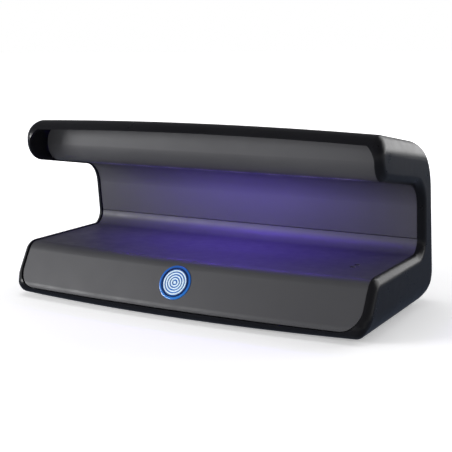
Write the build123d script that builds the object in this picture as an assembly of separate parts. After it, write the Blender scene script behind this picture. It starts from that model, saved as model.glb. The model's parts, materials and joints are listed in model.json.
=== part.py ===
"""Counterfeit bill detector: a C-shaped ultraviolet lamp housing that a banknote is slid into.

Millimetres. X is the width, -Y the front, +Z up. The origin is the centre of the footprint, on the table.
"""
import os
from math import cos, radians, sin, tan

from build123d import *

# ---- Driving dimensions ----
WIDTH = 206.0
FRONT_Y = -51.0
BACK_Y = 51.0
HEIGHT = 96.0
FOOT_HEIGHT = 1.0          # how far the feet stand out below the middle of the casing
TOP_CROWN = 1.9            # how much lower the top is at the two ends
BOTTOM_CROWN = 1.0         # how much higher the bottom is at the two ends
FRONT_BOW = 4.8            # how much further back the front panel is at the two ends

TRAY_Z = 29.0              # level of the end rims beside the tray
PANEL_ANGLE = 60.0         # front panel, from the horizontal
HOOD_SLOPE = 9.2           # underside of the hood, rising to the front
TOP_SLOPE = 9.0            # top of the hood, falling to the back
NOSE_Y = -32.2             # front of the hood
WALL_FOOT_Y = 33.1         # foot of the back wall inside the opening
WALL_HEAD_Y = 29.4         # head of the back wall inside the opening
WALL_HEAD_Z = 63.8
BACK_LEAN = 8.0            # outer back, from the vertical

BOTTOM_FRONT_R = 5.2
TRAY_FRONT_R = 8.0
TRAY_BACK_R = 6.5
HOOD_INNER_R = 14.0
NOSE_BOTTOM_R = 11.0
NOSE_TOP_R = 10.0
BACK_TOP_R = 29.0
BACK_BOTTOM_R = 15.0
RIM_FILLET = 4.6
END_LOW_R = 14.5           # lower corners of the two ends, seen from the front
END_LOW_Z = 13.0           # height of their centres
END_TOP_R = 12.0           # upper corners of the two ends
END_TOP_MARGIN = 1.0       # how far their uncut corner stands above the top

WALL = 2.4                 # casing wall
RIM_X = 99.3               # inner face of the end rims
RIM_RISE = 0.8             # how far the rims stand above the liners
LINER = 2.0                # liner thickness
GAP = 0.4                  # shadow gap between liner and casing
FASCIA_Y = -17.0           # recessed front of the hood liner
FASCIA_R = 11.0
LIP_Z = 91.6               # underside of the visor lip, in the middle
PANEL_FOOT_Z = 5.5         # top of the casing's band below the front panel
PANEL_CORNER_R = 10.5
FASCIA_CORNER_R = 10.0
SEAM_Z = 36.0              # seam between the two liners

COVER_X, COVER_Y0, COVER_Y1 = 85.6, -39.0, 32.0
COVER_TOP = 4.4
LEDGE = 3.0

BAY_X, BAY_Z = 62.0, 17.5  # centre of the recess for the power socket and switch
BAY_W, BAY_H = 48.0, 15.0
BAY_FLOOR_Y = 46.2
BAY_SKIN = 2.0
JACK_X = 49.0
JACK_BORE_R = 3.1
JACK_PIN_R = 1.0
SWITCH_X = 71.0
ROCKER_Y = BAY_FLOOR_Y - 1.2   # the rocker's pivot
ROCKER_TILT = 8.0
ROCKER_PIN_R = 0.9
ROCKER_PIN_CLEARANCE = 0.06

REAR_SCREW_X = (-78.0, -26.0, 26.0, 78.0)
REAR_SCREW_Z = 46.0
FOOT_SPOTS = [(x, y) for x in (-76.0, 76.0) for y in (-31.0, 25.0)]
FOOT_R = 6.0
COVER_SCREW_SPOTS = [(x, y) for x in (-58.0, 58.0) for y in (-30.0, 24.0)]

BOARD_Z = 8.9              # underside of the control board
BOARD_T = 1.6
BOARD_X0, BOARD_X1, BOARD_Y0, BOARD_Y1 = 8.0, 84.0, -6.0, 43.6
BOARD_POSTS = [(14.0, 0.0), (14.0, 24.0), (79.0, 0.0), (79.0, 24.0)]

SENSOR_X = 81.5
SENSOR_YS = (-5.5, -11.0)
SENSOR_BOARD_Z = 15.0

LAMP_Y = 4.0               # middle of the lamp slot in the hood's underside
LAMP_X = 82.0
LAMP_W = 16.0
LED_COUNT = 8
LED_PITCH = 20.0

BADGE_R = 9.0
BADGE_DOWN = 12.4          # from the tray's front edge down the panel to the badge's centre


# ---- Helpers ----
def rounded_outline(corners):
    """Closed wire in the YZ plane through (y, z, radius) corners, each rounded by a tangent arc."""
    corner_points = [Vector(0, y, z) for y, z, _ in corners]
    count = len(corners)
    starts, middles, ends = [], [], []
    for i, (_, _, radius) in enumerate(corners):
        here = corner_points[i]
        back = (corner_points[i - 1] - here).normalized()
        ahead = (corner_points[(i + 1) % count] - here).normalized()
        half = radians(back.get_angle(ahead)) / 2
        reach = radius / tan(half)
        bisector = (back + ahead).normalized()
        centre = here + bisector * (radius / sin(half))
        starts.append(here + back * reach)
        ends.append(here + ahead * reach)
        middles.append(centre - bisector * radius)
    edges = []
    for i in range(count):
        if corners[i][2] > 0:
            edges.append(ThreePointArc(starts[i], middles[i], ends[i]))
        edges.append(Line(ends[i], starts[(i + 1) % count]))
    return Wire(edges)


def slab(corners, half_width):
    """Solid with a YZ outline, extruded to both sides of the middle."""
    return extrude(Face(rounded_outline(corners)), half_width, dir=(1, 0, 0), both=True)


def crowned_slab(corners_at, half_width, inset=0.0):
    """Solid lofted across the width, whose YZ outline bows from the middle to the ends.

    corners_at(share) gives the outline's corners; share is 0 in the middle and grows with the square of x.
    """
    share = (half_width / (WIDTH / 2)) ** 2
    middle = Face(rounded_outline(corners_at(0.0)))
    end = Face(rounded_outline(corners_at(share)))
    if inset:
        middle = offset(middle, -inset)
        end = offset(end, -inset)
    return loft([Pos(-half_width, 0, 0) * end, middle, Pos(half_width, 0, 0) * end])


def block(x0, x1, y0, y1, z0, z1):
    """Box given by its limits."""
    return Pos((x0 + x1) / 2, (y0 + y1) / 2, (z0 + z1) / 2) * Box(x1 - x0, y1 - y0, z1 - z0)


def peg(x, y, z0, z1, radius):
    """Vertical cylinder."""
    return Pos(x, y, (z0 + z1) / 2) * Cylinder(radius, z1 - z0)


def rod_y(x, z, y0, y1, radius):
    """Cylinder along Y."""
    return Pos(x, (y0 + y1) / 2, z) * Rot(90, 0, 0) * Cylinder(radius, y1 - y0)


def pan_screw(head_r, head_h, shank_r, shank_l, slot_depth=0.7):
    """Cross-recessed pan-head screw, head up, the underside of its head at the origin."""
    head = Pos(0, 0, head_h / 2) * Cylinder(head_r, head_h)
    head = fillet(head.edges().sort_by(Axis.Z)[-1], head_h * 0.45)
    shank = Pos(0, 0, -shank_l / 2) * Cylinder(shank_r, shank_l)
    cross_w = head_r * 0.28
    cross_l = head_r * 1.2
    top = Pos(0, 0, head_h)
    recess = top * Box(cross_l, cross_w, 2 * slot_depth) + top * Box(cross_w, cross_l, 2 * slot_depth)
    return head + shank - recess


def wire_run(points, radii, radius):
    """Round wire along straight runs joined by arcs."""
    path = FilletPolyline(*points, radius=radii)
    start = Plane(origin=path @ 0, z_dir=path % 0)
    return sweep(start * Circle(radius), path=path)


def write(name, solids):
    """One STEP file for one node, which may hold several separate solids."""
    shape = Compound(children=list(solids)) if isinstance(solids, (list, tuple)) else solids
    export_step(shape, f"parts/{name}.step")


# ---- Shared geometry ----
def panel_foot_y(z):
    """Y of the front rim line at a height, before its foot is rounded."""
    half = radians(PANEL_ANGLE) / 2
    foot_y = FRONT_Y + BOTTOM_FRONT_R - BOTTOM_FRONT_R / tan(half)
    return foot_y + (z - FOOT_HEIGHT) / tan(radians(PANEL_ANGLE))


def hood_underside_z(y):
    """Height of the hood's underside rim line."""
    return WALL_HEAD_Z + (WALL_HEAD_Y - y) * tan(radians(HOOD_SLOPE))


def nose_top_z(apex_z):
    """Height of the nose's upper corner before it is rounded."""
    slope = radians(TOP_SLOPE)
    return apex_z + NOSE_TOP_R * ((1 + sin(slope)) / cos(slope) - 1)


def casing_corners(share):
    """Corners of the casing's side view, from the front foot round the opening, the top and the back."""
    bottom_z = FOOT_HEIGHT + BOTTOM_CROWN * share
    nose_z = nose_top_z(HEIGHT - TOP_CROWN * share)
    bow = FRONT_BOW * share
    slope = radians(TOP_SLOPE)
    lean = radians(BACK_LEAN)
    half_turn = radians(90 + BACK_LEAN) / 2
    back_foot_y = BACK_Y - BACK_BOTTOM_R + BACK_BOTTOM_R * tan(half_turn)
    # The top line and the back line meet at the back's virtual upper corner.
    back_top_y = (
        (back_foot_y + (bottom_z - nose_z - NOSE_Y * tan(slope)) * tan(lean))
        / (1 - tan(slope) * tan(lean))
    )
    back_top_z = nose_z - (back_top_y - NOSE_Y) * tan(slope)
    return [
        (panel_foot_y(bottom_z) + bow, bottom_z, BOTTOM_FRONT_R),
        (panel_foot_y(TRAY_Z) + bow, TRAY_Z, TRAY_FRONT_R),
        (WALL_FOOT_Y, TRAY_Z, TRAY_BACK_R),
        (WALL_HEAD_Y, WALL_HEAD_Z, HOOD_INNER_R),
        (NOSE_Y, hood_underside_z(NOSE_Y), NOSE_BOTTOM_R),
        (NOSE_Y, nose_z, NOSE_TOP_R),
        (back_top_y, back_top_z, BACK_TOP_R),
        (back_foot_y, bottom_z, BACK_BOTTOM_R),
    ]


def end_prism(inset):
    """The space between the two ends: flat sides, with lower corners rounded along Y and upper ones along the top."""
    width = WIDTH - 2 * inset
    low_face = Pos(0, END_LOW_Z - END_LOW_R + inset + 100) * RectangleRounded(width, 200, END_LOW_R - inset)
    top_face = Pos(0, -inset - 100) * RectangleRounded(width, 200, END_TOP_R - inset)
    low_prism = extrude(Plane.XZ * low_face, WIDTH, both=True)
    top_prism = extrude(Plane.XZ * top_face, WIDTH, both=True)
    top_corner = Pos(0, NOSE_Y, nose_top_z(HEIGHT) + END_TOP_MARGIN)
    return low_prism & (top_corner * Rot(-TOP_SLOPE, 0, 0) * top_prism)


def is_end_face(face):
    """True for the faces that end_prism left: the flat ends and the corners' cylinders."""
    return abs(face.center().X) > WIDTH / 2 - END_LOW_R and face.geom_type in (GeomType.PLANE, GeomType.CYLINDER)


def casing_body():
    """The whole outer form: crowned and bowed along its width, with rounded ends."""
    body = crowned_slab(casing_corners, WIDTH / 2 + 6) & end_prism(0)
    ends = body.faces().filter_by(is_end_face)
    shared = [edge for i, edge in enumerate(ends.edges()) if edge in ends.edges()[:i]]
    rims = [edge for edge in ends.edges() if edge not in shared]
    return fillet(rims, RIM_FILLET)


def liner_path(depth, share=0.0):
    """(y, z, radius) corners of a line that lies a depth behind the rims, from the panel's foot to the lip.

    The depth is measured square to each stretch, so two depths bound a liner. The share is crowned_slab's.
    """
    panel = radians(PANEL_ANGLE)
    slope = radians(HOOD_SLOPE)
    lean = (WALL_FOOT_Y - WALL_HEAD_Y) / (WALL_HEAD_Z - TRAY_Z)
    tray_z = TRAY_Z - depth
    wall_shift = depth * (1 + lean ** 2) ** 0.5
    hood_shift = depth / cos(slope)
    bow = FRONT_BOW * share
    panel_shift = depth / sin(panel) + bow

    def panel_y(z):
        return panel_foot_y(z) + panel_shift

    def wall_y(z):
        return WALL_FOOT_Y + wall_shift - (z - TRAY_Z) * lean

    def under_z(y):
        return hood_underside_z(y) + hood_shift

    fascia_y = FASCIA_Y + depth - RIM_RISE
    head_y = (WALL_FOOT_Y + wall_shift - (WALL_HEAD_Z + hood_shift + WALL_HEAD_Y * tan(slope) - TRAY_Z) * lean)
    head_y = head_y / (1 - tan(slope) * lean)
    # The panel's foot turns upright, as the casing's rounded foot does beside it.
    foot_y = FRONT_Y + depth + bow
    turn_z = FOOT_HEIGHT + (foot_y - panel_y(FOOT_HEIGHT)) * tan(panel)
    return [
        (foot_y, PANEL_FOOT_Z + GAP, 0),
        (foot_y, turn_z, BOTTOM_FRONT_R - depth),
        (panel_y(tray_z), tray_z, TRAY_FRONT_R - depth),
        (wall_y(tray_z), tray_z, TRAY_BACK_R + depth),
        (head_y, under_z(head_y), HOOD_INNER_R + depth),
        (fascia_y, under_z(fascia_y), FASCIA_R - depth),
        (fascia_y, LIP_Z + LINER, 0),
    ]


def liner_corners(share=0.0):
    """Outline of the liners' sheet, from its face to its back."""
    return liner_path(RIM_RISE, share) + liner_path(RIM_RISE + LINER, share)[::-1]


def mouth_corners(share):
    """Outline of all that is cut away in front of the liners' backs."""
    depth = RIM_RISE + LINER + 0.2
    low = PANEL_FOOT_Z - 4
    line = [(FRONT_Y + depth + FRONT_BOW * share, low, 0)] + liner_path(depth, share)[1:]
    return line + [(-70, LIP_Z + LINER, 0), (-70, low, 0)]


def front_window(inset):
    """Prism along Y whose outline is the opening seen from the front: rounded corners, crowned head."""
    z0 = PANEL_FOOT_Z + inset
    z1 = LIP_Z
    half = RIM_X - inset
    low = Pos(0, (z0 + 40) / 2) * RectangleRounded(2 * half, 40 - z0, PANEL_CORNER_R - inset)
    high = Pos(0, (40 + z1) / 2) * RectangleRounded(2 * half, z1 - 40, FASCIA_CORNER_R - inset)
    lip_r = RIM_X ** 2 / (2 * TOP_CROWN)
    high = high & Pos(0, z1 - lip_r) * Circle(lip_r)
    middle = Pos(0, 40) * Rectangle(2 * half, 40)
    face = Plane.XZ * (low + high + middle)
    return extrude(face, 60, both=True)


def lamp_frame():
    """Plane in the hood's underside at the lamp slot: X across, Y to the back down the slope, Z up."""
    z = hood_underside_z(LAMP_Y) + RIM_RISE / cos(radians(HOOD_SLOPE))
    return Location((0, LAMP_Y, z), (-HOOD_SLOPE, 0, 0))


def panel_frame():
    """Location on the front panel at the badge: local X across, local Y up the panel, local Z outwards."""
    depth = RIM_RISE / sin(radians(PANEL_ANGLE))
    y = panel_foot_y(TRAY_Z) + depth - BADGE_DOWN * cos(radians(PANEL_ANGLE))
    z = TRAY_Z - BADGE_DOWN * sin(radians(PANEL_ANGLE))
    return Location((0, y, z), (PANEL_ANGLE, 0, 0))


# ---- Shells ----
def outer_casing(body):
    hollow = crowned_slab(casing_corners, WIDTH / 2, WALL) & end_prism(WALL)
    mouth = crowned_slab(mouth_corners, RIM_X) & front_window(0)
    shell = body - hollow - mouth
    # Floor of the recess for the power socket and switch.
    pad = block(BAY_X - BAY_W / 2 - 2, BAY_X + BAY_W / 2 + 2, BAY_FLOOR_Y - BAY_SKIN, 60,
                BAY_Z - BAY_H / 2 - 2, BAY_Z + BAY_H / 2 + 2)
    shell = shell + (body & pad)
    for x in REAR_SCREW_X:
        shell = shell + (body & rod_y(x, REAR_SCREW_Z, 42.6, 55, 4.6))
    recess = Pos(BAY_X, BAY_FLOOR_Y, BAY_Z) * Rot(-90, 0, 0) * extrude(RectangleRounded(BAY_W, BAY_H, 3), 20)
    shell = shell - recess
    shell = shell - rod_y(JACK_X, BAY_Z, 40, 50, 4.1)
    shell = shell - block(SWITCH_X - 6.6, SWITCH_X + 6.6, 40, 50, BAY_Z - 4.2, BAY_Z + 4.2)
    for x in REAR_SCREW_X:
        shell = shell - rod_y(x, REAR_SCREW_Z, 40, 60, 1.6) - rod_y(x, REAR_SCREW_Z, 44.6, 60, 3.5)
    # Opening and ledge for the base cover.
    shell = shell - block(-COVER_X - 0.3, COVER_X + 0.3, COVER_Y0 - 0.3, COVER_Y1 + 0.3, -2, COVER_TOP)
    shell = shell - block(-COVER_X + LEDGE, COVER_X - LEDGE, COVER_Y0 + LEDGE, COVER_Y1 - LEDGE, COVER_TOP, 7)
    return shell


def upper_liner():
    """Fascia, hood underside and back wall in one moulding, with bosses for the rear screws."""
    skin = slab(liner_corners(), RIM_X - GAP) & front_window(GAP)
    skin = skin & block(-110, 110, -60, 60, SEAM_Z + GAP / 2, LIP_Z)
    slot = lamp_frame() * Box(2 * LAMP_X, LAMP_W, 12)
    skin = skin - slot
    for x in REAR_SCREW_X:
        boss = rod_y(x, REAR_SCREW_Z, 33.4, 42.4, 3.6)
        skin = skin + boss
        skin = skin - rod_y(x, REAR_SCREW_Z, 35.6, 43, 1.2)
    return skin


def note_tray():
    """Front panel, tray and the low strip behind it, with bosses for the base cover's screws."""
    skin = crowned_slab(liner_corners, RIM_X - GAP) & front_window(GAP)
    skin = skin & block(-110, 110, -60, 60, 0, SEAM_Z - GAP / 2)
    under = TRAY_Z - RIM_RISE - 1
    for x, y in COVER_SCREW_SPOTS:
        skin = skin + peg(x, y, COVER_TOP, under, 3.5) - peg(x, y, COVER_TOP, 18, 1.2)
    for y in (SENSOR_YS[0] + 7, SENSOR_YS[1] - 7):
        skin = skin + peg(SENSOR_X, y, SENSOR_BOARD_Z + 1.6, under, 2.4)
        skin = skin - peg(SENSOR_X, y, SENSOR_BOARD_Z + 1.6, 22, 0.9)
    for y in SENSOR_YS:
        skin = skin - peg(SENSOR_X, y, 20, 30, 1.5)
    seat = panel_frame() * Pos(0, 0, -0.8) * Cylinder(BADGE_R, 3.2, align=(Align.CENTER, Align.CENTER, Align.MIN))
    return skin - seat


def base_cover(body):
    plate = body & block(-COVER_X, COVER_X, COVER_Y0, COVER_Y1, -2, COVER_TOP)
    for x, y in COVER_SCREW_SPOTS:
        plate = plate - peg(x, y, -2, COVER_TOP, 1.6) - peg(x, y, -2, 3.0, 3.3)
    for x, y in FOOT_SPOTS:
        plate = plate - peg(x, y, -2, 3.3, FOOT_R + 0.1)
    for x, y in BOARD_POSTS:
        plate = plate + peg(x, y, COVER_TOP - 0.5, BOARD_Z, 3) - peg(x, y, COVER_TOP, BOARD_Z, 1.0)
    plate = plate - block(-30, 30, -14, 10, -2, 1.6)
    vents = [block(x - 1, x + 1, -26, -18, -2, 6) for x in range(-24, 25, 6)]
    return plate - vents


def rubber_feet():
    foot = Pos(0, 0, 1.65) * Cylinder(FOOT_R, 3.3)
    foot = fillet(foot.edges().sort_by(Axis.Z)[0], 0.8)
    return [Pos(x, y, 0) * foot for x, y in FOOT_SPOTS]


def rating_label():
    return block(-29, 29, -13, 9, 1.3, 1.6)


def cover_screws():
    screw = Rot(180, 0, 0) * pan_screw(2.9, 1.5, 1.15, 11)
    return [Pos(x, y, 3.0) * screw for x, y in COVER_SCREW_SPOTS]


def rear_screws():
    screw = Rot(-90, 0, 0) * pan_screw(3.0, 1.7, 1.15, 8)
    return [Pos(x, 44.6, REAR_SCREW_Z) * screw for x in REAR_SCREW_X]


# ---- Lamp ----
def uv_window():
    """Clear strip that fills the slot, with a flange that rests on the liner inside the hood."""
    strip = Pos(0, 0, 1.25) * Box(2 * LAMP_X - 0.4, LAMP_W - 0.4, 2.5)
    flange = Pos(0, 0, 2.5) * Box(2 * LAMP_X + 4, LAMP_W + 1.6, 0.96)
    return lamp_frame() * (strip + flange)


def uv_reflector():
    """Folded bright tray over the lamp: flared sides, open below, closed above but for the board's slot."""
    low, high = 3.05, 8.0
    foot, head, sheet = 7.6, 5.6, 0.5
    outline = [(-foot, low), (-head, high), (head, high), (foot, low),
               (foot - sheet * 1.1, low), (head - sheet, high - sheet), (-head + sheet, high - sheet),
               (-foot + sheet * 1.1, low)]
    face = Face(Polyline(*[Vector(0, y, z) for y, z in outline], close=True).wire())
    trough = extrude(face, LAMP_X - 1, dir=(1, 0, 0), both=True)
    lens_holes = [Pos(x, 0, high) * Cylinder(2.6, 3) for x in led_places()]
    return lamp_frame() * (trough - lens_holes)


def led_places():
    first = -(LED_COUNT - 1) * LED_PITCH / 2
    return [first + i * LED_PITCH for i in range(LED_COUNT)]


def uv_led_board():
    board = Pos(0, 0, 8.9) * Box(2 * LAMP_X - 4, 9.6, 1.6)
    holes = [Pos(x, 0, 8.9) * Cylinder(1.15, 4) for x in (-50, 50)]
    return lamp_frame() * (board - holes)


def uv_leds():
    """Square base with a domed lens that looks down through the reflector."""
    base = Pos(0, 0, 7.75) * Box(3.6, 3.6, 0.7)
    dome = Pos(0, 0, 7.4) * Sphere(1.6)
    dome = dome & Pos(0, 0, 6.0) * Box(4, 4, 2.8)
    led = base + dome
    return [lamp_frame() * Pos(x, 0, 0) * led for x in led_places()]


def led_board_screws():
    """Screws that hold the reflector and the board together."""
    screw = pan_screw(1.9, 1.1, 1.0, 1.6, 0.5)
    return [lamp_frame() * Pos(x, 0, 9.7) * screw for x in (-50, 50)]


# ---- Badge ----
def badge_disc():
    disc = Cylinder(BADGE_R - 0.05, 1.2, align=(Align.CENTER, Align.CENTER, Align.MIN))
    groove = Cylinder(BADGE_R - 1.3, 1) - Cylinder(BADGE_R - 2.1, 1)
    disc = fillet(disc.edges().sort_by(Axis.Z)[-1], 0.4)
    disc = disc - Pos(0, 0, 1.2) * Cylinder(BADGE_R - 2.2, 0.8)
    return panel_frame() * Pos(0, 0, -0.8) * (disc - Pos(0, 0, 1.5) * groove)


def badge_ring():
    ring = Cylinder(BADGE_R - 1.35, 0.45) - Cylinder(BADGE_R - 2.05, 0.45)
    return panel_frame() * Pos(0, 0, 0.425) * ring


def badge_emblem():
    """Plain rings around a dot, on the badge's floor."""
    rings = [Cylinder(r + 0.35, 0.4) - Cylinder(r - 0.35, 0.4) for r in (6.1, 4.7, 3.3, 1.9)]
    return [panel_frame() * Pos(0, 0, 0.2) * piece for piece in rings + [Cylinder(0.8, 0.4)]]


# ---- Sensor ----
def sensor_lenses():
    lens = Cylinder(1.45, 3.0, align=(Align.CENTER, Align.CENTER, Align.MIN))
    top = TRAY_Z - RIM_RISE - 0.2
    return [Pos(SENSOR_X, y, top - 3.0) * lens for y in SENSOR_YS]


def ir_diodes():
    base = SENSOR_BOARD_Z + 1.6
    dome = Pos(SENSOR_X, 0, base + 3.6) * Sphere(1.3)
    body = peg(SENSOR_X, 0, base + 0.9, base + 3.6, 1.3) + peg(SENSOR_X, 0, base, base + 0.9, 1.6)
    return [Pos(0, y, 0) * (body + dome) for y in SENSOR_YS]


def sensor_board():
    middle = (SENSOR_YS[0] + SENSOR_YS[1]) / 2
    board = block(SENSOR_X - 5, SENSOR_X + 5, middle - 13, middle + 13, SENSOR_BOARD_Z, SENSOR_BOARD_Z + 1.6)
    holes = [peg(SENSOR_X, y, 14, 18, 1.0) for y in (SENSOR_YS[0] + 7, SENSOR_YS[1] - 7)]
    return board - holes


def sensor_screws():
    screw = Rot(180, 0, 0) * pan_screw(1.8, 1.0, 0.85, 5, 0.5)
    return [Pos(SENSOR_X, y, SENSOR_BOARD_Z) * screw for y in (SENSOR_YS[0] + 7, SENSOR_YS[1] - 7)]


# ---- Control board ----
def control_board():
    top = BOARD_Z + BOARD_T
    board = block(BOARD_X0, BOARD_X1, BOARD_Y0, BOARD_Y1, BOARD_Z, top)
    board = board - [peg(x, y, 0, 20, 1.05) for x, y in BOARD_POSTS]
    board = board - [peg(x, y, 0, 20, 4.2) for x, y in COVER_SCREW_SPOTS if x > 0]
    return board


def board_screws():
    screw = pan_screw(2.0, 1.2, 0.95, 5, 0.5)
    return [Pos(x, y, BOARD_Z + BOARD_T) * screw for x, y in BOARD_POSTS]


def driver_chip():
    top = BOARD_Z + BOARD_T
    body = block(35, 42, 2, 7, top + 0.2, top + 1.7)
    legs = [block(x - 0.2, x + 0.2, y, y + 1.2, top, top + 0.8)
            for x in (36, 37.7, 39.3, 41) for y in (0.9, 6.9)]
    return body + legs


def capacitors():
    top = BOARD_Z + BOARD_T
    can = peg(0, 0, top, top + 9, 3.2)
    can = fillet(can.edges().sort_by(Axis.Z)[-1], 0.5)
    return [Pos(x, 17, 0) * can for x in (26, 35)]


def power_inductor():
    top = BOARD_Z + BOARD_T
    core = peg(46, 15, top, top + 1, 4) + peg(46, 15, top + 1, top + 4, 2.8) + peg(46, 15, top + 4, top + 5, 4)
    return core


def wire_connectors():
    """Headers for the lamp, the sensor and the switch."""
    top = BOARD_Z + BOARD_T
    body = Pos(0, 0, top + 2.5) * Box(6, 4, 5)
    return [Pos(x, y, 0) * body for x, y in ((19.2, 36), (76, 9), (66, 20))]


# ---- Power socket and switch ----
def dc_jack():
    """Socket on the control board whose round nose fills the hole in the recess."""
    nose_end = BAY_FLOOR_Y - 0.2
    face = BAY_FLOOR_Y - BAY_SKIN - 0.1
    body = block(JACK_X - 4.5, JACK_X + 4.5, face - 13, face, BOARD_Z + BOARD_T, BAY_Z + 5)
    nose = rod_y(JACK_X, BAY_Z, face - 1, nose_end, 4.0)
    return body + nose - rod_y(JACK_X, BAY_Z, face - 9, 50, JACK_BORE_R)


def jack_pin():
    face = BAY_FLOOR_Y - BAY_SKIN - 0.1
    return rod_y(JACK_X, BAY_Z, face - 9, BAY_FLOOR_Y - 2, JACK_PIN_R)


def switch_housing():
    """Bezel on the recess floor, hollow body behind it, and bores for the rocker's two pins."""
    bezel = block(SWITCH_X - 7.8, SWITCH_X + 7.8, BAY_FLOOR_Y, BAY_FLOOR_Y + 1.4, BAY_Z - 5.4, BAY_Z + 5.4)
    bezel = fillet(bezel.edges().filter_by(Axis.Y), 1.0)
    body = block(SWITCH_X - 6.5, SWITCH_X + 6.5, BAY_FLOOR_Y - 11, BAY_FLOOR_Y, BAY_Z - 4.1, BAY_Z + 4.1)
    pocket = block(SWITCH_X - 6.0, SWITCH_X + 6.0, BAY_FLOOR_Y - 5, BAY_FLOOR_Y + 3, BAY_Z - 3.3, BAY_Z + 3.3)
    bores = peg(SWITCH_X, ROCKER_Y, BAY_Z - 3.9, BAY_Z + 3.9, ROCKER_PIN_R + ROCKER_PIN_CLEARANCE)
    return bezel + body - pocket - bores


def power_rocker():
    """Rocker tilted to its off side: two faces that meet in a shallow valley, on pins along Z."""
    reach, valley = 5.7, 2.5
    tip = valley + reach * tan(radians(ROCKER_TILT))
    outline = [(-reach, tip), (0, valley), (reach, tip), (reach, tip - 2.0), (1.8, -1.9), (-1.8, -1.9),
               (-reach, tip - 2.0)]
    face = Face(Polyline(*[Vector(x, y, 0) for x, y in outline], close=True).wire())
    key = extrude(face, 3.05, dir=(0, 0, 1), both=True) & Cylinder(reach, 20)
    pins = Cylinder(ROCKER_PIN_R, 7.6)
    return Pos(SWITCH_X, ROCKER_Y, BAY_Z) * Rot(0, 0, -ROCKER_TILT) * (key + pins)


def switch_terminals():
    back = BAY_FLOOR_Y - 11
    return [block(x - 0.4, x + 0.4, back - 5, back, BAY_Z - 1.5, BAY_Z + 1.5)
            for x in (SWITCH_X - 3.5, SWITCH_X + 3.5)]


# ---- Wires ----
def led_harness():
    """Two wires from the board up behind the back wall and forward to the lamp's board."""
    top = BOARD_Z + BOARD_T
    lamp_z = hood_underside_z(LAMP_Y)
    runs = []
    for x in (18.0, 20.4):
        points = [(x, 36, top + 5), (x, 36, top + 9), (x, 41.6, 24), (x, 40.2, WALL_HEAD_Z - 2.2),
                  (x, 30, lamp_z + 7.1), (x, 16, lamp_z + 11.3), (x, 9.4, lamp_z + 10.6)]
        runs.append(wire_run(points, 2.6, 0.7))
    return runs


def sensor_wires():
    """Two wires from the sensor board to its header."""
    top = BOARD_Z + BOARD_T
    start_z, high_z = SENSOR_BOARD_Z + 1.6, 20.0
    return [
        wire_run([(x0, 3.2, start_z), (x0, 3.2, high_z), (x1, 9, high_z), (x1, 9, top + 5)], 1.5, 0.5)
        for x0, x1 in ((77.0, 75.2), (78.3, 76.8))
    ]


def switch_wires():
    """Two wires from the switch's blades to their header."""
    top = BOARD_Z + BOARD_T
    back = BAY_FLOOR_Y - 16
    return [
        wire_run([(x0, back, BAY_Z), (x0, 25, BAY_Z), (x1, 20, 20), (x1, 20, top + 5)], 1.5, 0.6)
        for x0, x1 in ((SWITCH_X - 3.5, 64.8), (SWITCH_X + 3.5, 67.2))
    ]


def main():
    os.makedirs("parts", exist_ok=True)
    body = casing_body()
    write("outer_casing", outer_casing(body))
    write("upper_liner", upper_liner())
    write("note_tray", note_tray())
    write("base_cover", base_cover(body))
    for make in (
        rubber_feet, rating_label, cover_screws, rear_screws,
        uv_window, uv_reflector, uv_led_board, uv_leds, led_board_screws,
        badge_disc, badge_ring, badge_emblem,
        sensor_lenses, ir_diodes, sensor_board, sensor_screws,
        control_board, board_screws, driver_chip, capacitors, power_inductor, wire_connectors,
        dc_jack, jack_pin, switch_housing, power_rocker, switch_terminals,
        led_harness, sensor_wires, switch_wires,
    ):
        write(make.__name__, make())


main()
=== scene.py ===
"""Looks of the counterfeit bill detector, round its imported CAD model. Metres, +Z up, -Y the front."""
import json
import math

import bmesh
import bpy
from mathutils import Matrix, Vector


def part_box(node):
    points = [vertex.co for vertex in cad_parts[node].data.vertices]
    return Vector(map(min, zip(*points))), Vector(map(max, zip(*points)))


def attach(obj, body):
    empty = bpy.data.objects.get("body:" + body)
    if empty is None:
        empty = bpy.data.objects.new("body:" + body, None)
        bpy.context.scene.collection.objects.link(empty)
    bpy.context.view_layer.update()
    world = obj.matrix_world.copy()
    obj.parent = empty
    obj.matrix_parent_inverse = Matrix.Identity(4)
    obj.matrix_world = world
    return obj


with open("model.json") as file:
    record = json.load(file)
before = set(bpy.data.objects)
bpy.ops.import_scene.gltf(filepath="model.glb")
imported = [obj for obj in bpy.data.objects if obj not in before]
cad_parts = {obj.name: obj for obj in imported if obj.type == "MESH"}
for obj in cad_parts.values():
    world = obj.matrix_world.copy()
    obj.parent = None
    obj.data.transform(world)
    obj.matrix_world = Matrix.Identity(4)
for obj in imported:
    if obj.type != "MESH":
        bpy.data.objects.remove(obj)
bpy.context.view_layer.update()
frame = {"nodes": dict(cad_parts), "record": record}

MM = 0.001

# ---- Camera ----
IMAGE_PX = 452
SENSOR_MM = 36.0
CAMERA_AZIMUTH = math.radians(29.04)
CAMERA_ELEVATION = math.radians(10.61)
CAMERA_ROLL = math.radians(-0.31)
CAMERA_DISTANCE = 0.5391
CAMERA_FOCUS_PX = 1016.9
CAMERA_TARGET = Vector((0.0049, 0.0, 0.0401))

# ---- Lamp ----
LED_COUNT = 8
LED_PITCH = 0.020
LAMP_VIOLET = (0.17, 0.07, 1.0)
LED_WATTS = 0.020
LED_END_SHARE = 0.25             # light of the outermost LEDs, as a share of the middle ones'
LED_FALLOFF = 0.055              # metres along the lamp for each radian of the falloff
LED_FALLOFF_REACH = 0.08         # half the length over which the light falls off
LED_LIGHT_DROP = 3.0 * MM        # lights stand this far under the window
LED_LIGHT_SIZE = 0.012

# ---- Rocker's marks ----
MARK_SIZE = 1.5 * MM
MARK_THICK = 0.06 * MM

# ---- Label ----
LABEL_BORDER = 1.2 * MM
LABEL_ROW = 2.2 * MM
LABEL_RULE = 0.12 * MM


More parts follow.
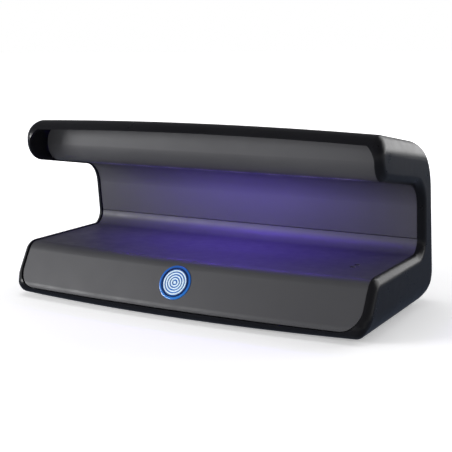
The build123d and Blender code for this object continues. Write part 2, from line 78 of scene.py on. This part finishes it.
# ---- Node helpers ----
class Shader:
    """A material's node tree, with short calls for the nodes that the materials share."""

    def __init__(self, name):
        self.material = bpy.data.materials.new(name)
        self.material.use_nodes = True
        self.nodes = self.material.node_tree.nodes
        self.links = self.material.node_tree.links
        self.surface = self.nodes["Principled BSDF"]
        self.place = self.nodes.new("ShaderNodeTexCoord").outputs["Object"]

    def link(self, output, socket):
        self.links.new(output, self.surface.inputs[socket])

    def value(self, socket, value):
        self.surface.inputs[socket].default_value = value

    def stretched(self, x, y, z):
        """Object coordinates scaled along each axis, for grain that runs one way."""
        node = self.nodes.new("ShaderNodeMapping")
        node.inputs["Scale"].default_value = (x, y, z)
        self.links.new(self.place, node.inputs["Vector"])
        return node.outputs["Vector"]

    def noise(self, scale, detail=3.0, roughness=0.5, vector=None):
        node = self.nodes.new("ShaderNodeTexNoise")
        node.inputs["Scale"].default_value = scale
        node.inputs["Detail"].default_value = detail
        node.inputs["Roughness"].default_value = roughness
        self.links.new(vector or self.place, node.inputs["Vector"])
        return node.outputs["Fac"]

    def cells(self, scale, feature="F1", vector=None):
        node = self.nodes.new("ShaderNodeTexVoronoi")
        node.feature = feature
        node.inputs["Scale"].default_value = scale
        self.links.new(vector or self.place, node.inputs["Vector"])
        return node.outputs["Distance"]

    def ramp(self, factor, stops):
        """Colour ramp through (position, colour) stops."""
        node = self.nodes.new("ShaderNodeValToRGB")
        elements = node.color_ramp.elements
        for i, (position, colour) in enumerate(stops):
            element = elements[i] if i < 2 else elements.new(position)
            element.position = position
            element.color = (*colour, 1.0)
        self.links.new(factor, node.inputs["Fac"])
        return node.outputs["Color"]

    def span(self, factor, low, high, start=0.3, end=0.7):
        """Maps a factor between start and end to low and high."""
        node = self.nodes.new("ShaderNodeMapRange")
        node.inputs["From Min"].default_value = start
        node.inputs["From Max"].default_value = end
        node.inputs["To Min"].default_value = low
        node.inputs["To Max"].default_value = high
        self.links.new(factor, node.inputs["Value"])
        return node.outputs["Result"]

    def math(self, operation, a, b):
        node = self.nodes.new("ShaderNodeMath")
        node.operation = operation
        for socket, source in zip(node.inputs, (a, b)):
            if isinstance(source, (int, float)):
                socket.default_value = source
            else:
                self.links.new(source, socket)
        return node.outputs["Value"]

    def axis(self, letter, vector=None):
        node = self.nodes.new("ShaderNodeSeparateXYZ")
        self.links.new(vector or self.place, node.inputs["Vector"])
        return node.outputs[letter]

    def bump(self, height, depth_mm, strength=1.0, below=None):
        node = self.nodes.new("ShaderNodeBump")
        node.inputs["Strength"].default_value = strength
        node.inputs["Distance"].default_value = depth_mm * MM
        self.links.new(height, node.inputs["Height"])
        if below:
            self.links.new(below, node.inputs["Normal"])
        return node.outputs["Normal"]


# ---- Materials ----
def moulded_plastic(name, dark, light, rough, grain_mm, grain_depth_mm, specular=0.5, coat=0.0):
    """Injection-moulded plastic: spark-eroded grain, slow colour drift and patches of worn gloss."""
    s = Shader(name)
    drift = s.noise(14, 2.0)
    s.link(s.ramp(drift, [(0.3, dark), (0.7, light)]), "Base Color")
    wear = s.noise(90, 5.0, 0.62)
    s.link(s.span(wear, rough[0], rough[1]), "Roughness")
    pits = s.cells(1 / (grain_mm * MM))
    grain = s.noise(0.7 / (grain_mm * MM), 2.0)
    coarse = s.bump(pits, grain_depth_mm, 0.6)
    s.link(s.bump(grain, grain_depth_mm, 0.5, coarse), "Normal")
    s.value("Specular IOR Level", specular)
    s.value("Coat Weight", coat)
    s.value("Coat Roughness", 0.12)
    return s.material


def soft_rubber(name):
    s = Shader(name)
    dust = s.noise(260, 6.0, 0.7)
    s.link(s.ramp(dust, [(0.35, (0.010, 0.010, 0.011)), (0.72, (0.035, 0.034, 0.033))]), "Base Color")
    s.link(s.span(dust, 0.72, 0.92), "Roughness")
    s.link(s.bump(s.noise(2600, 3.0), 0.03, 0.7), "Normal")
    s.value("Specular IOR Level", 0.3)
    return s.material


def plated_steel(name, tint=(0.42, 0.42, 0.44), rough=(0.26, 0.42)):
    """Zinc-plated steel: fine turning marks with dull spots."""
    s = Shader(name)
    spots = s.noise(900, 4.0, 0.6)
    dark = tuple(c * 0.72 for c in tint)
    s.link(s.ramp(spots, [(0.3, dark), (0.65, tint)]), "Base Color")
    s.link(s.span(spots, rough[0], rough[1]), "Roughness")
    marks = s.noise(1400, 2.0, 0.5, s.stretched(1.0, 1.0, 9.0))
    s.link(s.bump(marks, 0.01, 0.5), "Normal")
    s.value("Metallic", 1.0)
    return s.material


def bright_reflector(name):
    s = Shader(name)
    ripple = s.noise(120, 3.0, 0.5, s.stretched(0.25, 2.0, 2.0))
    s.link(s.ramp(ripple, [(0.3, (0.74, 0.74, 0.77)), (0.7, (0.86, 0.86, 0.88))]), "Base Color")
    s.link(s.span(ripple, 0.12, 0.24), "Roughness")
    s.link(s.bump(ripple, 0.05, 0.4), "Normal")
    s.value("Metallic", 1.0)
    return s.material


def circuit_board(name):
    """Green solder mask over copper tracks, with tinned pads."""
    s = Shader(name)
    tracks = s.span(s.cells(240, "DISTANCE_TO_EDGE"), 1.0, 0.0, 0.02, 0.05)
    mask = s.ramp(tracks, [(0.0, (0.008, 0.085, 0.030)), (1.0, (0.018, 0.150, 0.052))])
    s.link(mask, "Base Color")
    s.link(s.span(s.noise(300, 3.0), 0.28, 0.40), "Roughness")
    s.link(s.bump(tracks, 0.035, 0.8), "Normal")
    s.value("Coat Weight", 0.3)
    return s.material


def clear_lamp_lens(name):
    """Clear resin LED, glowing violet inside."""
    s = Shader(name)
    haze = s.noise(1500, 3.0)
    s.link(s.ramp(haze, [(0.3, (0.62, 0.58, 0.86)), (0.7, (0.78, 0.75, 0.95))]), "Base Color")
    s.link(s.span(haze, 0.06, 0.16), "Roughness")
    s.link(s.bump(haze, 0.01, 0.3), "Normal")
    s.value("Transmission Weight", 0.6)
    s.value("Emission Color", (*LAMP_VIOLET, 1.0))
    s.value("Emission Strength", 6.0)
    return s.material


def lamp_window(name):
    """Clear acrylic strip, lit from behind by a row of LEDs: bright spots with a dim glow between."""
    s = Shader(name)
    along = s.math("MULTIPLY", s.axis("X"), math.pi / LED_PITCH)
    wave = s.math("ABSOLUTE", s.math("SINE", along, 0.0), 0.0)
    glow = s.math("POWER", wave, 3.0)
    violets = [(0.0, (0.05, 0.02, 0.30)), (0.7, (0.20, 0.10, 0.95)), (1.0, (0.55, 0.42, 1.0))]
    s.link(s.ramp(glow, violets), "Emission Color")
    s.value("Emission Strength", 0.35)
    fine = s.noise(500, 4.0)
    s.link(s.ramp(fine, [(0.3, (0.50, 0.46, 0.72)), (0.7, (0.62, 0.58, 0.82))]), "Base Color")
    s.link(s.span(fine, 0.10, 0.22), "Roughness")
    s.link(s.bump(fine, 0.01, 0.3), "Normal")
    s.value("Transmission Weight", 0.35)
    s.value("IOR", 1.49)
    return s.material


def enamel_blue_painted_highlight(name):
    """Glossy blue badge under a clear coat, with a painted highlight: a little brighter towards its bottom
    and darker towards its top, and a faint painted glow.
    """
    s = Shader(name)
    # Painted highlight and shade: the blue is lighter low on the badge and darker high up.
    height = s.span(s.axis("Z"), 0.0, 1.0, 0.008, 0.028)
    painted_highlight_blues = [(0.0, (0.012, 0.16, 0.50)), (0.55, (0.010, 0.11, 0.42)), (1.0, (0.006, 0.06, 0.28))]
    s.link(s.ramp(height, painted_highlight_blues), "Base Color")
    flakes = s.noise(1800, 4.0, 0.6)
    s.link(s.span(flakes, 0.14, 0.26), "Roughness")
    s.link(s.bump(flakes, 0.01, 0.25), "Normal")
    s.value("Coat Weight", 0.8)
    s.value("Coat Roughness", 0.05)
    # Painted glow: the badge is no lamp, yet it gives off a faint blue light.
    s.value("Emission Color", (0.01, 0.10, 0.45, 1.0))
    s.value("Emission Strength", 0.10)
    return s.material


def polished_rim(name):
    """Dark blue lacquered ring round the badge."""
    s = Shader(name)
    flakes = s.noise(1600, 3.0)
    s.link(s.ramp(flakes, [(0.3, (0.002, 0.012, 0.060)), (0.7, (0.003, 0.020, 0.090))]), "Base Color")
    s.link(s.span(flakes, 0.12, 0.22), "Roughness")
    s.link(s.bump(flakes, 0.01, 0.25), "Normal")
    s.value("Coat Weight", 0.5)
    s.value("Coat Roughness", 0.08)
    return s.material


def enamel_white(name):
    s = Shader(name)
    flakes = s.noise(1500, 3.0)
    s.link(s.ramp(flakes, [(0.3, (0.52, 0.68, 0.80)), (0.7, (0.66, 0.80, 0.88))]), "Base Color")
    s.link(s.span(flakes, 0.18, 0.30), "Roughness")
    s.link(s.bump(flakes, 0.01, 0.25), "Normal")
    s.value("Coat Weight", 0.6)
    return s.material


def dark_lens(name):
    """Infra-red filter plastic, nearly black with a red depth."""
    s = Shader(name)
    haze = s.noise(900, 3.0)
    s.link(s.ramp(haze, [(0.3, (0.006, 0.002, 0.006)), (0.7, (0.016, 0.004, 0.012))]), "Base Color")
    s.link(s.span(haze, 0.08, 0.16), "Roughness")
    s.link(s.bump(haze, 0.01, 0.3), "Normal")
    s.value("Coat Weight", 0.5)
    return s.material


def wire_jacket(name):
    """Drawn PVC jacket, with faint rings along the wire."""
    s = Shader(name)
    rings = s.noise(1600, 2.0, 0.5, s.stretched(0.3, 1.0, 1.0))
    s.link(s.ramp(rings, [(0.3, (0.22, 0.012, 0.012)), (0.7, (0.34, 0.022, 0.020))]), "Base Color")
    s.link(s.span(rings, 0.38, 0.52), "Roughness")
    s.link(s.bump(rings, 0.02, 0.4), "Normal")
    return s.material


def silver_label(name):
    """Metallised film label with a printed dark border and empty ruled cells, and no lettering."""
    s = Shader(name)
    low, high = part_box("rating_label")
    middle = (low + high) / 2
    across = s.math("ABSOLUTE", s.math("SUBTRACT", s.axis("X"), middle.x), 0.0)
    along = s.math("ABSOLUTE", s.math("SUBTRACT", s.axis("Y"), middle.y), 0.0)
    edge_x = s.math("GREATER_THAN", across, (high.x - low.x) / 2 - LABEL_BORDER)
    edge_y = s.math("GREATER_THAN", along, (high.y - low.y) / 2 - LABEL_BORDER)
    rule = s.math("LESS_THAN", s.math("PINGPONG", s.axis("Y"), LABEL_ROW), LABEL_RULE)
    print_mask = s.math("MAXIMUM", s.math("MAXIMUM", edge_x, edge_y), rule)
    s.link(s.ramp(print_mask, [(0.0, (0.48, 0.48, 0.50)), (1.0, (0.03, 0.03, 0.035))]), "Base Color")
    grain = s.noise(1200, 3.0, 0.5, s.stretched(0.1, 1.0, 1.0))
    s.link(s.span(grain, 0.34, 0.50), "Roughness")
    s.link(s.bump(grain, 0.01, 0.3), "Normal")
    s.value("Metallic", 0.7)
    return s.material


def make_materials():
    """One material for each of the record's slots."""
    black = ((0.0045, 0.0045, 0.0058), (0.0075, 0.0075, 0.0090))
    grey = ((0.044, 0.044, 0.048), (0.051, 0.051, 0.055))
    chip = ((0.012, 0.012, 0.013), (0.020, 0.020, 0.021))
    ferrite = ((0.040, 0.040, 0.043), (0.062, 0.062, 0.066))
    nylon = ((0.62, 0.60, 0.53), (0.72, 0.70, 0.62))
    socket = ((0.008, 0.008, 0.009), (0.014, 0.014, 0.015))
    switch = ((0.009, 0.009, 0.010), (0.015, 0.015, 0.016))
    return {
        "casing_black": moulded_plastic("satin_black_plastic", *black, (0.26, 0.36), 0.45, 0.012, 0.25),
        "liner_grey": moulded_plastic("grey_liner_plastic", *grey, (0.42, 0.56), 0.40, 0.016, 0.30),
        "window_clear": lamp_window("lamp_window_acrylic"),
        "reflector_bright": bright_reflector("reflector_aluminium"),
        "circuit_board": circuit_board("green_circuit_board"),
        "led_clear": clear_lamp_lens("led_resin"),
        "badge_blue": enamel_blue_painted_highlight("badge_blue_enamel_painted_highlight"),
        "badge_rim": polished_rim("badge_rim_blue"),
        "badge_white": enamel_white("badge_white_enamel"),
        "lens_dark": dark_lens("infrared_filter"),
        "rubber_black": soft_rubber("foot_rubber"),
        "screw_steel": plated_steel("zinc_plated_steel"),
        "chip_black": moulded_plastic("chip_epoxy", *chip, (0.5, 0.65), 0.2, 0.01),
        "capacitor_can": plated_steel("capacitor_aluminium", (0.55, 0.56, 0.60), (0.20, 0.34)),
        "ferrite": moulded_plastic("ferrite_core", *ferrite, (0.55, 0.75), 0.3, 0.03),
        "connector_white": moulded_plastic("nylon_white", *nylon, (0.35, 0.5), 0.4, 0.01),
        "socket_black": moulded_plastic("socket_black_nylon", *socket, (0.3, 0.42), 0.3, 0.01),
        "contact_brass": plated_steel("contact_brass", (0.72, 0.56, 0.25), (0.18, 0.32)),
        "switch_black": moulded_plastic("switch_black_nylon", *switch, (0.2, 0.3), 0.5, 0.006, 0.5, 0.2),
        "wire_jacket": wire_jacket("wire_pvc"),
        "label_silver": silver_label("label_film"),
    }


def dress_nodes(materials):
    """Gives every CAD node its slot's material."""
    for subpart in frame["record"]["subparts"]:
        node = frame["nodes"][subpart["node"]]
        node.data.materials.clear()
        node.data.materials.append(materials[subpart["material_slot"]])


# ---- Pieces that only Blender makes ----
def mark_outline(kind):
    """Loops of the rocker's on bar and off ring, drawn round the origin: the outer loop, then any hole."""
    half = MARK_SIZE / 2
    if kind == "on":
        bar = half * 0.22
        return [[(-bar, -half), (bar, -half), (bar, half), (-bar, half)]]
    turns = [math.tau * i / 48 for i in range(48)]
    return [[(r * math.cos(a), r * math.sin(a)) for a in turns] for r in (half, half * 0.68)]


def printed_mark(kind, material, face_matrix):
    """Thin white print on a face of the rocker."""
    mesh = bmesh.new()
    rings = [[mesh.verts.new((x, y, 0)) for x, y in loop] for loop in mark_outline(kind)]
    if len(rings) == 1:
        faces = [mesh.faces.new(rings[0])]
    else:
        outer, inner = rings
        count = len(outer)
        faces = [mesh.faces.new((outer[i], outer[(i + 1) % count], inner[(i + 1) % count], inner[i]))
                 for i in range(count)]
    lifted = bmesh.ops.extrude_face_region(mesh, geom=faces)["geom"]
    top = [item for item in lifted if isinstance(item, bmesh.types.BMVert)]
    bmesh.ops.translate(mesh, verts=top, vec=(0, 0, MARK_THICK))
    bmesh.ops.recalc_face_normals(mesh, faces=mesh.faces)
    mesh.transform(face_matrix)
    data = bpy.data.meshes.new("rocker_mark_" + kind)
    mesh.to_mesh(data)
    mesh.free()
    data.materials.append(material)
    piece = bpy.data.objects.new("rocker_mark_" + kind, data)
    bpy.context.scene.collection.objects.link(piece)
    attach(piece, "rocker")
    return piece


def print_rocker_marks(material):
    """The bar goes on the half of the rocker that is raised at rest, the ring on the half that is down."""
    rocker = frame["nodes"]["power_rocker"].data
    low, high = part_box("power_rocker")
    middle = (low + high) / 2
    for kind, side in (("on", 1), ("off", -1)):
        facing = [p for p in rocker.polygons if p.normal.y > 0.85 and (p.center.x - middle.x) * side > 0]
        area = sum(p.area for p in facing)
        centre = sum((p.center * p.area for p in facing), Vector()) / area
        normal = sum((p.normal * p.area for p in facing), Vector()).normalized()
        up = Vector((0, 0, 1))
        across = up.cross(normal).normalized()
        placed = Matrix((across, up, normal)).transposed().to_4x4()
        placed.translation = centre - normal * (MARK_THICK / 2)
        printed_mark(kind, material, placed)


# ---- Stage, light and camera ----
def make_floor():
    """Wide pale floor that glows: painted light, dim near the middle and full white from about half a
    metre out.
    """
    mesh = bmesh.new()
    bmesh.ops.create_circle(mesh, cap_ends=True, segments=96, radius=8.0)
    data = bpy.data.meshes.new("floor")
    mesh.to_mesh(data)
    mesh.free()
    s = Shader("pale_floor_painted_glow")
    paper = s.noise(6, 3.0)
    s.link(s.ramp(paper, [(0.3, (0.86, 0.86, 0.87)), (0.7, (0.88, 0.88, 0.885))]), "Base Color")
    # Painted light: the floor's glow grows from dim grey at the middle to white further out.
    squares = s.math("ADD", s.math("POWER", s.axis("X"), 2.0), s.math("POWER", s.axis("Y"), 2.0))
    radius = s.math("POWER", squares, 0.5)
    s.link(s.ramp(radius, [(0.10, (0.34, 0.34, 0.34)), (0.55, (1.0, 1.0, 1.0))]), "Emission Color")
    s.value("Emission Strength", 1.0)
    s.value("Roughness", 0.85)
    s.value("Specular IOR Level", 0.1)
    data.materials.append(s.material)
    floor = bpy.data.objects.new("floor", data)
    bpy.context.scene.collection.objects.link(floor)
    floor.visible_glossy = False


def make_world():
    """A white band at the horizon, dim overhead and dark below, where only the floor would be seen."""
    world = bpy.data.worlds.new("studio")
    bpy.context.scene.world = world
    world.use_nodes = True
    nodes = world.node_tree.nodes
    links = world.node_tree.links
    place = nodes.new("ShaderNodeTexCoord")
    parts = nodes.new("ShaderNodeSeparateXYZ")
    height = nodes.new("ShaderNodeMapRange")
    height.inputs["From Min"].default_value = -0.2
    height.inputs["From Max"].default_value = 0.3
    ramp = nodes.new("ShaderNodeValToRGB")
    dim_below, white, dim_above = (0.09, 0.11, 0.155), (1.0, 1.0, 1.0), (0.15, 0.15, 0.16)
    stops = ((0.30, dim_below), (0.34, white), (0.54, white), (0.68, dim_above))
    for i, (position, shade) in enumerate(stops):
        element = ramp.color_ramp.elements[i] if i < 2 else ramp.color_ramp.elements.new(position)
        element.position = position
        element.color = (*shade, 1.0)
    links.new(place.outputs["Generated"], parts.inputs["Vector"])
    links.new(parts.outputs["Z"], height.inputs["Value"])
    links.new(height.outputs["Result"], ramp.inputs["Fac"])
    links.new(ramp.outputs["Color"], nodes["Background"].inputs["Color"])


def area_light(name, place, target, size, watts, colour=(1.0, 1.0, 1.0)):
    data = bpy.data.lights.new(name, "AREA")
    data.shape = "RECTANGLE"
    data.size, data.size_y = size
    data.energy = watts
    data.color = colour
    light = bpy.data.objects.new(name, data)
    light.location = place
    light.rotation_euler = (Vector(target) - Vector(place)).to_track_quat("-Z", "Y").to_euler()
    bpy.context.scene.collection.objects.link(light)
    return light


def light_studio():
    centre = (0.0, 0.0, 0.045)
    area_light("key_left", (-0.60, -0.60, 0.22), centre, (0.34, 0.22), 7.2)
    top = area_light("top_soft", (-0.2, 0.10, 1.30), centre, (1.0, 1.0), 6.0)
    top.visible_glossy = False
    area_light("back_soft", (0.60, 1.05, 0.55), centre, (1.4, 1.0), 10.0)


def light_lamp():
    """A small violet light just under the window at each LED."""
    low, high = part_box("uv_window")
    y = (low.y + high.y) / 2
    z = low.z - LED_LIGHT_DROP
    for i in range(LED_COUNT):
        x = (i - (LED_COUNT - 1) / 2) * LED_PITCH
        share = LED_END_SHARE
        if abs(x) < LED_FALLOFF_REACH:
            share += (1 - LED_END_SHARE) * math.cos(x / LED_FALLOFF) ** 2
        target = (x, y + 0.012, z - 0.03)
        size = (LED_LIGHT_SIZE, LED_LIGHT_SIZE)
        light = area_light(f"led_light_{i}", (x, y, z), target, size, LED_WATTS * share, LAMP_VIOLET)
        light.visible_camera = False


def make_camera():
    az, el = CAMERA_AZIMUTH, CAMERA_ELEVATION
    back = Vector((math.sin(az) * math.cos(el), -math.cos(az) * math.cos(el), math.sin(el)))
    data = bpy.data.cameras.new("camera")
    data.sensor_width = SENSOR_MM
    data.lens = SENSOR_MM * CAMERA_FOCUS_PX / IMAGE_PX
    camera = bpy.data.objects.new("camera", data)
    camera.location = CAMERA_TARGET + back * CAMERA_DISTANCE
    upright = back.to_track_quat("Z", "Y").to_matrix()
    camera.rotation_euler = (upright @ Matrix.Rotation(CAMERA_ROLL, 3, "Z")).to_euler()
    bpy.context.scene.collection.objects.link(camera)
    bpy.context.scene.camera = camera


def main():
    make_camera()
    materials = make_materials()
    dress_nodes(materials)
    print_rocker_marks(materials["badge_white"])
    make_floor()
    make_world()
    light_studio()
    light_lamp()
    bpy.context.scene.view_settings.view_transform = "Standard"


main()
